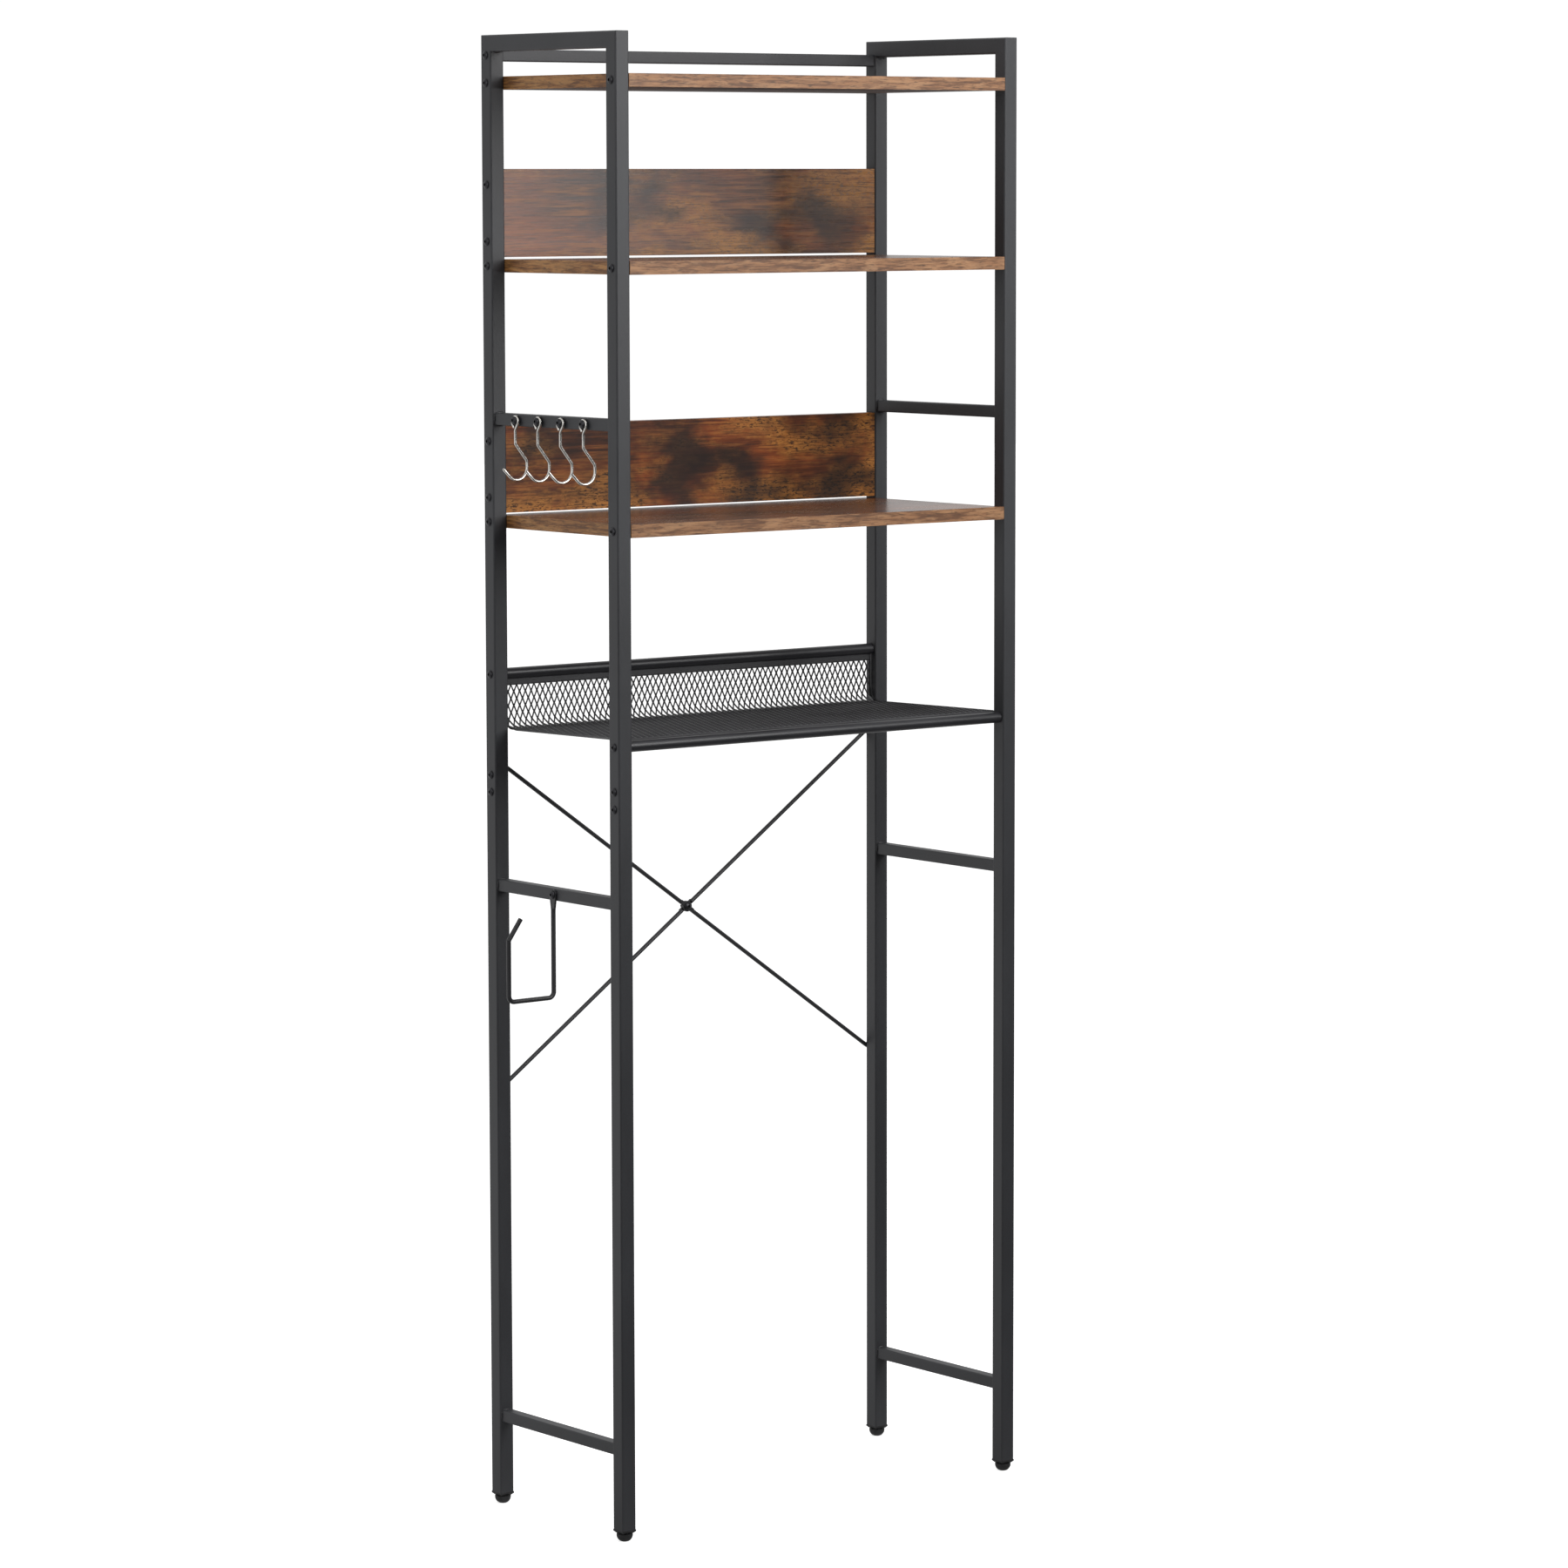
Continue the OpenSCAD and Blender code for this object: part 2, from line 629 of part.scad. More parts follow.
// Paper roll holder, bolted to the left lower frame's upper rung.
module paper_roll_holder() color(powder_coat)
    translate([holder_rod_x, holder_y, lower_rung_z + rung / 2]) {
        outer_x = -holder_reach;
        upright_top = -holder_drop + holder_upright;
        tip = [outer_x + holder_tip_run, upright_top + holder_tip_rise];
        half = holder_rod_d / 2;
        difference() {
            union() {
                translate([-holder_ear_t / 2, 0, 0]) extrude_x(holder_ear_t) {
                    circle(holder_ear_r);
                    polygon([[-holder_ear_r, 0], [holder_ear_r, 0], [half, -holder_neck],
                        [-half, -holder_neck]]);
                }
                rod_xz([0, -holder_neck + half], [0, -holder_drop + holder_bend_r], holder_rod_d);
                bend_xz([-holder_bend_r, -holder_drop + holder_bend_r], holder_bend_r, 270, 90,
                    holder_rod_d);
                rod_xz([-holder_bend_r, -holder_drop], [outer_x + holder_bend_r, -holder_drop],
                    holder_rod_d);
                bend_xz([outer_x + holder_bend_r, -holder_drop + holder_bend_r], holder_bend_r, 180,
                    90, holder_rod_d);
                rod_xz([outer_x, -holder_drop + holder_bend_r], [outer_x, upright_top], holder_rod_d);
                kink([outer_x, upright_top], holder_rod_d);
                rod_xz([outer_x, upright_top], tip, holder_rod_d);
            }
            translate([-holder_ear_t / 2, 0, 0]) screw_hole(holder_ear_t);
        }
    }

module paper_holder_bolt() color(black_oxide)
    translate([rung_inset - holder_ear_t, holder_y, lower_rung_z + rung / 2])
        button_screw(holder_ear_t + rivet_len - screw_short);

// Screws through the posts and the threads they reach.
module post_screws(ys, zs) color(black_oxide) both_sides() for (y = ys, z = zs)
    translate([0, y, z]) button_screw(post + bite - screw_short);

module shelf_screws() post_screws([front_y, rear_y], shelf_screws_z);

module backboard_screws() post_screws([rear_y], backboard_screws_z);

module rail_screws() post_screws([rear_y], [rail_z + rung / 2]);

module basket_screws() {
    post_screws([front_y], [basket_front_z]);
    post_screws([rear_y], [basket_rear_z]);
}

module board_inserts() color(zinc) both_sides() {
    for (y = [front_y, rear_y], z = shelf_screws_z)
        translate([post, y, z]) threaded_bush(insert_d, bite);
    for (z = backboard_screws_z)
        translate([post, rear_y, z]) threaded_bush(insert_d, bite);
}

module rail_end_nuts() color(zinc) both_sides() difference() {
    translate([post, rear_y - rung_inner / 2, rail_z + rung_wall]) extrude_x(bite)
        rounded_square(rung_inner, rung_inner_corner);
    translate([post - over, rear_y, rail_z + rung / 2]) bar_x(screw_d, bite + 2 * over);
}

module basket_end_nuts() color(zinc) both_sides() {
    translate([post, front_y, basket_front_z]) threaded_bush(basket_inner, bite);
    translate([post, rear_y, basket_rear_z]) threaded_bush(basket_inner, bite);
}

module rivet_nuts() color(zinc) {
    for (y = hooks_y)
        translate([rung_inset, y, hook_rung_z + rung / 2]) threaded_bush(rivet_d, rivet_len);
    translate([rung_inset, holder_y, lower_rung_z + rung / 2]) threaded_bush(rivet_d, rivet_len);
    both_sides() for (z = [brace_top_z, brace_bottom_z])
        translate([post / 2, frame_d, z]) rotate([0, 0, -90]) threaded_bush(rivet_d, rivet_len);
}

// One line for each node.
on_floor() left() upper_post(true);  // left_upper_front_post
on_floor() left() upper_post(false);  // left_upper_rear_post
on_floor() left() top_bar();  // left_top_bar
on_floor() left() rung_with_nuts(hook_rung_z, hooks_y);  // left_hook_rung
on_floor() right() upper_post(true);  // right_upper_front_post
on_floor() right() upper_post(false);  // right_upper_rear_post
on_floor() right() top_bar();  // right_top_bar
on_floor() right() plain_rung(hook_rung_z);  // right_upper_rung
on_floor() left() lower_post(true);  // left_lower_front_post
on_floor() left() lower_post(false);  // left_lower_rear_post
on_floor() left() rung_with_nuts(lower_rung_z, [holder_y]);  // left_lower_rung
on_floor() left() plain_rung(bottom_rung_z);  // left_bottom_rung
on_floor() right() lower_post(true);  // right_lower_front_post
on_floor() right() lower_post(false);  // right_lower_rear_post
on_floor() right() plain_rung(lower_rung_z);  // right_lower_rung
on_floor() right() plain_rung(bottom_rung_z);  // right_bottom_rung
on_floor() rear_top_rail();
on_floor() shelf(shelf_levels[0]);  // shelf_top
on_floor() shelf(shelf_levels[1]);  // shelf_middle
on_floor() shelf(shelf_levels[2]);  // shelf_bottom
on_floor() backboard(0);  // backboard_upper
on_floor() backboard(1);  // backboard_lower
on_floor() basket_tube(front_y, basket_front_z);  // basket_front_tube
on_floor() basket_tube(rear_y, basket_rear_z);  // basket_rear_tube
on_floor() basket_mesh_panel();
on_floor() brace_rod(brace_angle, true);  // brace_rod_falling
on_floor() brace_rod(-brace_angle, false);  // brace_rod_rising
on_floor() brace_centre_screw();
on_floor() brace_centre_nut();
on_floor() left() connector(front_y);  // left_front_connector
on_floor() left() connector(rear_y);  // left_rear_connector
on_floor() right() connector(front_y);  // right_front_connector
on_floor() right() connector(rear_y);  // right_rear_connector
on_floor() left() foot_plug(front_y);  // left_front_plug
on_floor() left() foot_plug(rear_y);  // left_rear_plug
on_floor() right() foot_plug(front_y);  // right_front_plug
on_floor() right() foot_plug(rear_y);  // right_rear_plug
on_floor() left() levelling_foot(front_y);  // left_front_foot
on_floor() left() levelling_foot(rear_y);  // left_rear_foot
on_floor() right() levelling_foot(front_y);  // right_front_foot
on_floor() right() levelling_foot(rear_y);  // right_rear_foot
on_floor() hook(0);  // hook_1
on_floor() hook(1);  // hook_2
on_floor() hook(2);  // hook_3
on_floor() hook(3);  // hook_4
on_floor() hook_screws();
on_floor() hook_washers();
on_floor() paper_roll_holder();
on_floor() paper_holder_bolt();
on_floor() shelf_screws();
on_floor() backboard_screws();
on_floor() rail_screws();
on_floor() basket_screws();
on_floor() connector_screws();
on_floor() brace_screws();
on_floor() board_inserts();
on_floor() rail_end_nuts();
on_floor() basket_end_nuts();
on_floor() rivet_nuts();
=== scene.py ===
"""Over-the-toilet storage rack: finishes, wire goods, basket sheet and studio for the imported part."""

import math

import bpy
from mathutils import Matrix, Vector


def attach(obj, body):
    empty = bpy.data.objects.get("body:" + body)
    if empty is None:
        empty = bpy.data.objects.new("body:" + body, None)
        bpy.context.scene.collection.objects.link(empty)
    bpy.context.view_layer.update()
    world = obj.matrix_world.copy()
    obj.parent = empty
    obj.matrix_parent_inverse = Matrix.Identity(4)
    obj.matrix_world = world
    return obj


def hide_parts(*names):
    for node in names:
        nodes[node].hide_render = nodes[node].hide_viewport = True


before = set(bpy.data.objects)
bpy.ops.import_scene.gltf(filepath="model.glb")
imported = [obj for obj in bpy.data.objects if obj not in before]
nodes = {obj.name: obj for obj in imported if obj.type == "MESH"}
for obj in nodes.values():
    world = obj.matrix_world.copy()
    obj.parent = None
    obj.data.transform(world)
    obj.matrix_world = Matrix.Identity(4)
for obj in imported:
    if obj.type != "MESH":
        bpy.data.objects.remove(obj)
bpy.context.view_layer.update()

# Sizes are in millimetres and are multiplied by MM. The frame's origin is under the middle of the
# whole part, roll holder and brace included: CENTRE_X from the posts' left face and CENTRE_Y from
# their front.
MM = 0.001
CENTRE_X = 262.6125
CENTRE_Y = 134.75

FRAME_W = 587
FRAME_D = 260
POST = 19.0
RUNG = 14.0
RUNG_IN = 2.5  # how far a rung's outer face is set in from the posts' outer faces
RUNG_TOPS = {"upper": 1283, "lower": 741.5, "bottom": 113}


def place(x, y, z):
    """The frame's point for millimetres right of the left posts, back from the front, and up."""
    return Vector(((x - CENTRE_X) * MM, (y - CENTRE_Y) * MM, z * MM))


# ---------------------------------------------------------------- shader helpers


class Signal:
    """A socket of a finish. Arithmetic on it adds Math nodes."""

    def __init__(self, finish, socket):
        self.finish = finish
        self.socket = socket

    def _math(self, operation, first, second):
        return self.finish.node("ShaderNodeMath", {"operation": operation}, {0: first, 1: second})

    def __add__(self, other):
        return self._math("ADD", self, other)

    def __radd__(self, other):
        return self._math("ADD", other, self)

    def __sub__(self, other):
        return self._math("SUBTRACT", self, other)

    def __rsub__(self, other):
        return self._math("SUBTRACT", other, self)

    def __mul__(self, other):
        return self._math("MULTIPLY", self, other)

    def __rmul__(self, other):
        return self._math("MULTIPLY", other, self)

    def clamped(self, low, high):
        """0 below low, 1 above high, smooth between."""
        return self.finish.node(
            "ShaderNodeMapRange",
            {"interpolation_type": "SMOOTHSTEP"},
            {"Value": self, "From Min": low, "From Max": high},
        )


class Finish:
    """A procedural material on one principled shader."""

    def __init__(self, name, **constants):
        self.material = bpy.data.materials.new(name)
        self.material.use_nodes = True
        self.tree = self.material.node_tree
        self.shader = self.tree.nodes["Principled BSDF"]
        for socket, value in constants.items():
            self.shader.inputs[socket.replace("_", " ")].default_value = value
        self.at = self.node("ShaderNodeTexCoord", {}, {}, "Object")

    def node(self, kind, settings, sockets, output=0):
        """Adds any node: its settings first, then the values or links of its sockets."""
        made = self.tree.nodes.new(kind)
        for key, value in settings.items():
            setattr(made, key, value)
        for key, value in sockets.items():
            if isinstance(value, Signal):
                self.tree.links.new(value.socket, made.inputs[key])
            else:
                made.inputs[key].default_value = value
        return Signal(self, made.outputs[output])

    def scaled(self, stretch, shift=(0, 0, 0)):
        """The object's coordinates, stretched and moved."""
        return self.node(
            "ShaderNodeMapping", {"vector_type": "POINT"},
            {"Vector": self.at, "Scale": stretch, "Location": shift},
        )

    def noise(self, stretch, shift=(0, 0, 0), detail=3.0, rough=0.55, distortion=0.0):
        return self.node(
            "ShaderNodeTexNoise", {},
            {"Vector": self.scaled(stretch, shift), "Scale": 1.0, "Detail": detail,
             "Roughness": rough, "Distortion": distortion},
        )

    def blend(self, factor, below, above):
        """Colour below where factor is 0, above where it is 1."""
        return self.node(
            "ShaderNodeMix", {"data_type": "RGBA"}, {0: factor, 6: below, 7: above}, 2
        )

    def feed(self, socket, value):
        self.tree.links.new(value.socket, self.shader.inputs[socket])

    def bump(self, height, depth, strength=1.0):
        self.feed("Normal", self.node(
            "ShaderNodeBump", {}, {"Height": height, "Distance": depth, "Strength": strength}))


def colour(r, g, b):
    return (r, g, b, 1.0)


# ---------------------------------------------------------------- finishes


def powder_coat(name, shade, gloss):
    """Satin charcoal powder coat: a fine orange peel with a little unevenness in its sheen."""
    coat = Finish(name, Metallic=0.0, IOR=1.5)
    peel = coat.noise((900, 900, 900), detail=2.0)
    cloud = coat.noise((14, 14, 6), shift=(3, 1, 0), detail=4.0)
    fleck = coat.noise((2600, 2600, 2600), detail=1.0).clamped(0.66, 0.8)
    r, g, b = shade
    body = coat.blend(cloud.clamped(0.3, 0.7), colour(r * 0.86, g * 0.86, b * 0.86),
                      colour(r * 1.14, g * 1.14, b * 1.14))
    coat.feed("Base Color", coat.blend(fleck * 0.35, body, colour(r * 2.2, g * 2.2, b * 2.2)))
    coat.feed("Roughness", gloss + 0.1 * cloud + 0.05 * peel)
    coat.bump(peel, 0.00012, 0.35)
    return coat.material


KNOT_BLACK = colour(0.014, 0.010, 0.010)
FIBRE_BROWN = colour(0.026, 0.014, 0.009)
CRACK_BLACK = colour(0.012, 0.008, 0.006)
TICK_BROWN = colour(0.06, 0.034, 0.02)


def laminate(name, seed, body, dark, tan, amounts, lean, gloss, shine=0.5):
    """Printed rustic-brown wood: fine streaks along the board, dark patches, tan wear and crackle.

    amounts are those of the dark patches, the tan wear and the crackle. lean is (x, z, height):
    how much more wear the print shows per metre to the right, and per metre above that height."""
    board = Finish(name, Metallic=0.0, IOR=1.46, Specular_IOR_Level=shine)
    blacken, wear_share, crackle = amounts
    more_right, more_up, level = lean
    right = board.node("ShaderNodeSeparateXYZ", {}, {"Vector": board.at}, "X")
    up = board.node("ShaderNodeSeparateXYZ", {}, {"Vector": board.at}, "Z")
    wander = board.noise((4, 10, 10), shift=(seed, 2, 1), detail=2.0)
    streak = board.noise((11, 300, 300), shift=(seed, 0, 0), detail=4.0, rough=0.6, distortion=0.05)
    fibre = board.noise((26, 620, 620), shift=(seed, 4, 4), detail=3.0, rough=0.6)
    band = board.noise((4.5, 75, 75), shift=(seed, 7, 7), detail=3.0, distortion=0.15)
    patch = board.noise((9, 15, 15), shift=(seed, 11, 5), detail=5.0, rough=0.5, distortion=0.12)
    worn = board.noise(
        (8, 17, 17), shift=(seed + 3, 3, 17), detail=5.0, rough=0.58, distortion=0.15)
    worn = worn + right * more_right + (up - level) * more_up
    scuff = board.noise((90, 330, 330), shift=(seed, 5, 23), detail=4.0, rough=0.7)
    flake = board.noise((120, 360, 360), shift=(seed, 9, 9), detail=3.0, rough=0.75, distortion=0.4)
    crack = flake.clamped(0.51, 0.58) * (worn * 0.85 + scuff * 0.15).clamped(0.5, 0.6)
    redder = colour(body[0] * 1.45, body[1] * 1.08, body[2] * 0.8)
    mid = board.blend((0.6 * streak + 0.4 * band).clamped(0.4, 0.6), dark, body)
    mid = board.blend(wander.clamped(0.4, 0.62) * 0.6, mid, redder)
    mid = board.blend((worn * 0.82 + scuff * 0.18).clamped(0.46, 0.62) * wear_share, mid, tan)
    mid = board.blend(streak.clamped(0.54, 0.64) * 0.3, mid, tan)
    mid = board.blend((patch * 0.9 + streak * 0.1).clamped(0.47, 0.66) * blacken, mid, KNOT_BLACK)
    mid = board.blend((1.0 - fibre).clamped(0.5, 0.62) * 0.6, mid, FIBRE_BROWN)
    mid = board.blend(crack * crackle, mid, CRACK_BLACK)
    board.feed("Base Color", mid)
    board.feed("Roughness", gloss + 0.12 * streak + 0.1 * crack)
    board.bump(streak * 0.6 + fibre * 0.4 - crack * 0.5, 0.0002, 0.25)
    return board.material


def edge_band(name, seed, body, dark, light, runs_back=False):
    """Printed edge band: short, lighter streaks along an edge that runs across the rack or back."""
    band = Finish(name, Metallic=0.0, IOR=1.46)

    def along(stretch):
        return (stretch[1], stretch[0], stretch[2]) if runs_back else stretch

    streak = band.noise(
        along((26, 420, 420)), shift=(seed, 1, 3), detail=5.0, rough=0.68, distortion=0.3)
    wave = band.noise(along((20, 130, 130)), shift=(seed, 9, 2), detail=4.0, distortion=1.1)
    tick = band.noise(along((90, 600, 600)), shift=(seed, 5, 5), detail=2.0)
    mid = band.blend(streak.clamped(0.4, 0.6), dark, body)
    mid = band.blend(wave.clamped(0.46, 0.64) * 0.6, mid, light)
    mid = band.blend(tick.clamped(0.55, 0.68) * 0.6, mid, TICK_BROWN)
    band.feed("Base Color", mid)
    band.feed("Roughness", 0.4 + 0.15 * streak)
    band.bump(streak, 0.0002, 0.3)
    return band.material


def nickel(name):
    """Bright plated wire with faint drawing marks."""
    plate = Finish(name, Metallic=1.0)
    mark = plate.noise((700, 700, 260), detail=3.0)
    cloud = plate.noise((90, 90, 60), detail=2.0)
    plate.feed("Base Color", plate.blend(
        cloud, colour(0.62, 0.60, 0.56), colour(0.80, 0.785, 0.75)))
    plate.feed("Roughness", 0.12 + 0.16 * mark)
    plate.bump(mark, 0.00006, 0.3)
    return plate.material


def zinc(name, metallic, fineness, dark, light, gloss):
    """Zinc plating, plain or black: smooth, with a fine unevenness."""
    plate = Finish(name, Metallic=metallic)
    cloud = plate.noise((fineness, fineness, fineness), detail=3.0)
    plate.feed("Base Color", plate.blend(cloud, dark, light))
    plate.feed("Roughness", gloss + 0.2 * cloud)
    plate.bump(cloud, 0.00005, 0.3)
    return plate.material


STUD_STEEL = colour(0.55, 0.55, 0.56)


def foot_plastic(name, steel_from=None):
    """Moulded black plastic. A foot's stud is bare steel above the height steel_from, in metres."""
    moulded = Finish(name, IOR=1.46)
    pebble = moulded.noise((1400, 1400, 1400), detail=2.0)
    rub = moulded.noise((160, 160, 90), detail=4.0)
    body = moulded.blend(
        rub.clamped(0.35, 0.75), colour(0.011, 0.011, 0.012), colour(0.026, 0.026, 0.028))
    gloss = 0.42 + 0.14 * pebble
    if steel_from is not None:
        height = moulded.node("ShaderNodeSeparateXYZ", {}, {"Vector": moulded.at}, "Z")
        steel = height.clamped(steel_from, steel_from + 0.0001)
        body = moulded.blend(steel, body, STUD_STEEL)
        gloss = gloss - steel * 0.12
        moulded.feed("Metallic", steel)
    moulded.feed("Base Color", body)
    moulded.feed("Roughness", gloss)
    moulded.bump(pebble, 0.0001, 0.3)
    return moulded.material


CHARCOAL = powder_coat("charcoal powder coat", (0.030, 0.031, 0.035), 0.40)
ROD_COAT = powder_coat("charcoal coat on rod", (0.026, 0.026, 0.029), 0.36)
# Painted light: the sheet takes the basket's black coat made lighter than the tubes'. The lighter
# colour stands in for the light that falls on the basket's floor, and it lightens the sheet's back as
# well.
BASKET_COAT_PAINTED_LIGHTER = powder_coat("black basket coat painted lighter on sheet", (0.046, 0.046, 0.049), 0.26)
TUBE_COAT = powder_coat("black coat on basket tubes", (0.020, 0.020, 0.023), 0.28)
WELD_COAT = powder_coat("coat over the welds", (0.022, 0.022, 0.025), 0.34)
SCREW_BLACK = zinc(
    "black zinc screws", 0.75, 600, colour(0.022, 0.022, 0.025), colour(0.06, 0.06, 0.066), 0.26)
NICKEL = nickel("bright nickel hooks")
ZINC = zinc("plain zinc threads", 1.0, 420, colour(0.46, 0.47, 0.49), colour(0.64, 0.65, 0.67), 0.3)
FOOT = foot_plastic("black foot and steel stud", steel_from=0.0087)
PLUG = foot_plastic("black foot plug")
BACKBOARD_UPPER = laminate(
    "upper backboard print", 1.7, colour(0.20, 0.069, 0.020), colour(0.055, 0.021, 0.010),
    colour(0.43, 0.195, 0.048), (0.85, 0.7, 0.5), (0.25, -0.6, 1.51), 0.22)
BACKBOARD_LOWER = laminate(
    "lower backboard print", 6.3, colour(0.245, 0.072, 0.021), colour(0.066, 0.021, 0.010),
    colour(0.55, 0.225, 0.050), (0.9, 0.8, 0.85), (0.15, -1.5, 1.22), 0.26, shine=0.22)
SHELF_FACE = laminate(
    "shelf print", 3.9, colour(0.18, 0.071, 0.033), colour(0.085, 0.036, 0.019),
    colour(0.27, 0.125, 0.046), (0.45, 0.35, 0.3), (0, 0, 1), 0.18)
SHELF_UNDER = laminate(
    "shelf underside", 9.4, colour(0.10, 0.045, 0.026), colour(0.045, 0.022, 0.014),
    colour(0.18, 0.09, 0.04), (0.4, 0.3, 0.2), (0, 0, 1), 0.68)
SHELF_FRONT = edge_band(
    "shelf front band", 2.2, colour(0.35, 0.168, 0.074), colour(0.15, 0.066, 0.030),
    colour(0.50, 0.27, 0.130))
SHELF_END = edge_band(
    "shelf end band", 8.1, colour(0.36, 0.160, 0.050), colour(0.14, 0.058, 0.019),
    colour(0.50, 0.255, 0.090), runs_back=True)


def dress(name, material):
    """Puts a finish on a CAD node."""
    mesh = nodes[name].data
    mesh.materials.clear()
    mesh.materials.append(material)


for name in nodes:
    if name.endswith(("_screws", "_bolt", "_washers", "_screw")) or name == "brace_centre_nut":
        dress(name, SCREW_BLACK)
    elif name.endswith(("_inserts", "_nuts", "_connector")):
        dress(name, ZINC)
    elif name.endswith("_foot"):
        dress(name, FOOT)
    elif name.endswith("_plug"):
        dress(name, PLUG)
    elif name.startswith("brace_rod") or name == "paper_roll_holder":
        dress(name, ROD_COAT)
    elif name.startswith("hook_"):
        dress(name, NICKEL)
    elif name.startswith("backboard"):
        dress(name, BACKBOARD_UPPER if name.endswith("upper") else BACKBOARD_LOWER)
    elif name.startswith("shelf"):
        dress(name, SHELF_FACE)
    elif name == "basket_mesh_panel":
        dress(name, BASKET_COAT_PAINTED_LIGHTER)
    elif name.startswith("basket_"):
        dress(name, TUBE_COAT)
    else:
        dress(name, CHARCOAL)

# Bands cover a shelf's edges: the mesh faces that look along X or Y take a band's finish, and those
# that look down take the dull underside's.
FRONT_SLOT, END_SLOT, UNDER_SLOT = 1, 2, 3
SQUARE_ON = 0.9  # a face looks along an axis when its normal's share of that axis is over this
for name in ("shelf_top", "shelf_middle", "shelf_bottom"):
    mesh = nodes[name].data
    for material in (SHELF_FRONT, SHELF_END, SHELF_UNDER):
        mesh.materials.append(material)
    for face in mesh.polygons:
        if abs(face.normal.y) > SQUARE_ON:
            face.material_index = FRONT_SLOT
        elif abs(face.normal.x) > SQUARE_ON:
            face.material_index = END_SLOT
        elif face.normal.z < -SQUARE_ON:
            face.material_index = UNDER_SLOT


# ---------------------------------------------------------------- making pieces


def alone(obj):
    """Selects only this object."""
    bpy.ops.object.select_all(action="DESELECT")
    obj.select_set(True)
    bpy.context.view_layer.objects.active = obj


def join(pieces, name):
    """Joins the pieces into one named object."""
    bpy.ops.object.select_all(action="DESELECT")
    for piece in pieces:
        piece.select_set(True)
    bpy.context.view_layer.objects.active = pieces[0]
    bpy.ops.object.join()
    made = bpy.context.view_layer.objects.active
    made.name = name
    return made


def settle(obj):
    """Puts the object at the origin with its place in its mesh."""
    alone(obj)
    bpy.ops.object.transform_apply(location=True, rotation=True, scale=True)


def apply_modifier(obj, kind, **settings):
    """Adds one modifier with its settings and applies it."""
    alone(obj)
    modifier = obj.modifiers.new(kind.lower(), kind)
    for key, value in settings.items():
        setattr(modifier, key, value)
    bpy.ops.object.modifier_apply(modifier=modifier.name)


def pick(obj, wanted):
    """In edit mode, selects the vertices for which wanted(place) is true."""
    bpy.ops.mesh.select_all(action="DESELECT")
    bpy.ops.object.mode_set(mode="OBJECT")
    for vertex in obj.data.vertices:
        vertex.select = wanted(vertex.co)
    bpy.ops.object.mode_set(mode="EDIT")


def finish_piece(obj, material, body, replaces=()):
    """Gives a piece its finish, its body and the CAD nodes that it replaces."""
    obj.data.materials.clear()
    obj.data.materials.append(material)
    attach(obj, body)
    if replaces:
        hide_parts(*replaces)


# ---------------------------------------------------------------- basket sheet

SHEET_T = 1.0
SHEET_EDGE = 0.15  # the bevel on the sheet's plain edges
BACK_Y = 250.5
STRIP_TOP = 973.5
STRIP_BOTTOM = 966.5
BEND_R = 14.0
FLOOR_Z = 916.0
FLOOR_REAR = 236.5
LIP_TOP = (16.22, 920.22)
LIP_END = (14.1, 918.1)
LIP_LAP = 2.0  # how far the lip's strip reaches back onto the floor
SHEET_LEFT = 20.0
SHEET_RIGHT = 567.0
RIM = 2.2
RIM_STATIONS = 60
STRAND_T = 2.9
DIAMOND_COLUMNS = 66
DIAMOND_ROWS = 17
HAIR = 1e-5  # metres: mesh places closer than this are the same

# The sheet's runs from the strip under the rear tube: down its back, round its bend and along its
# floor.
FLOOR_SLOPE = math.atan2(LIP_TOP[1] - FLOOR_Z, FLOOR_REAR - LIP_TOP[0])
BACK_RUN = STRIP_BOTTOM - FLOOR_Z - BEND_R
BEND_RUN = BEND_R * (math.pi / 2 + FLOOR_SLOPE)
FLOOR_RUN = math.hypot(LIP_TOP[1] - FLOOR_Z, FLOOR_REAR - LIP_TOP[0])
SHEET_RUN = BACK_RUN + BEND_RUN + FLOOR_RUN


def along_sheet(distance):
    """Place (y, z) on the sheet, by the distance down from the strip under the rear tube."""
    if distance <= BACK_RUN:
        return BACK_Y, STRIP_BOTTOM - distance
    if distance <= BACK_RUN + BEND_RUN:
        angle = (distance - BACK_RUN) / BEND_R
        return (FLOOR_REAR + BEND_R * math.cos(angle), FLOOR_Z + BEND_R - BEND_R * math.sin(angle))
    run = distance - BACK_RUN - BEND_RUN
    return FLOOR_REAR - run * math.cos(FLOOR_SLOPE), FLOOR_Z + run * math.sin(FLOOR_SLOPE)


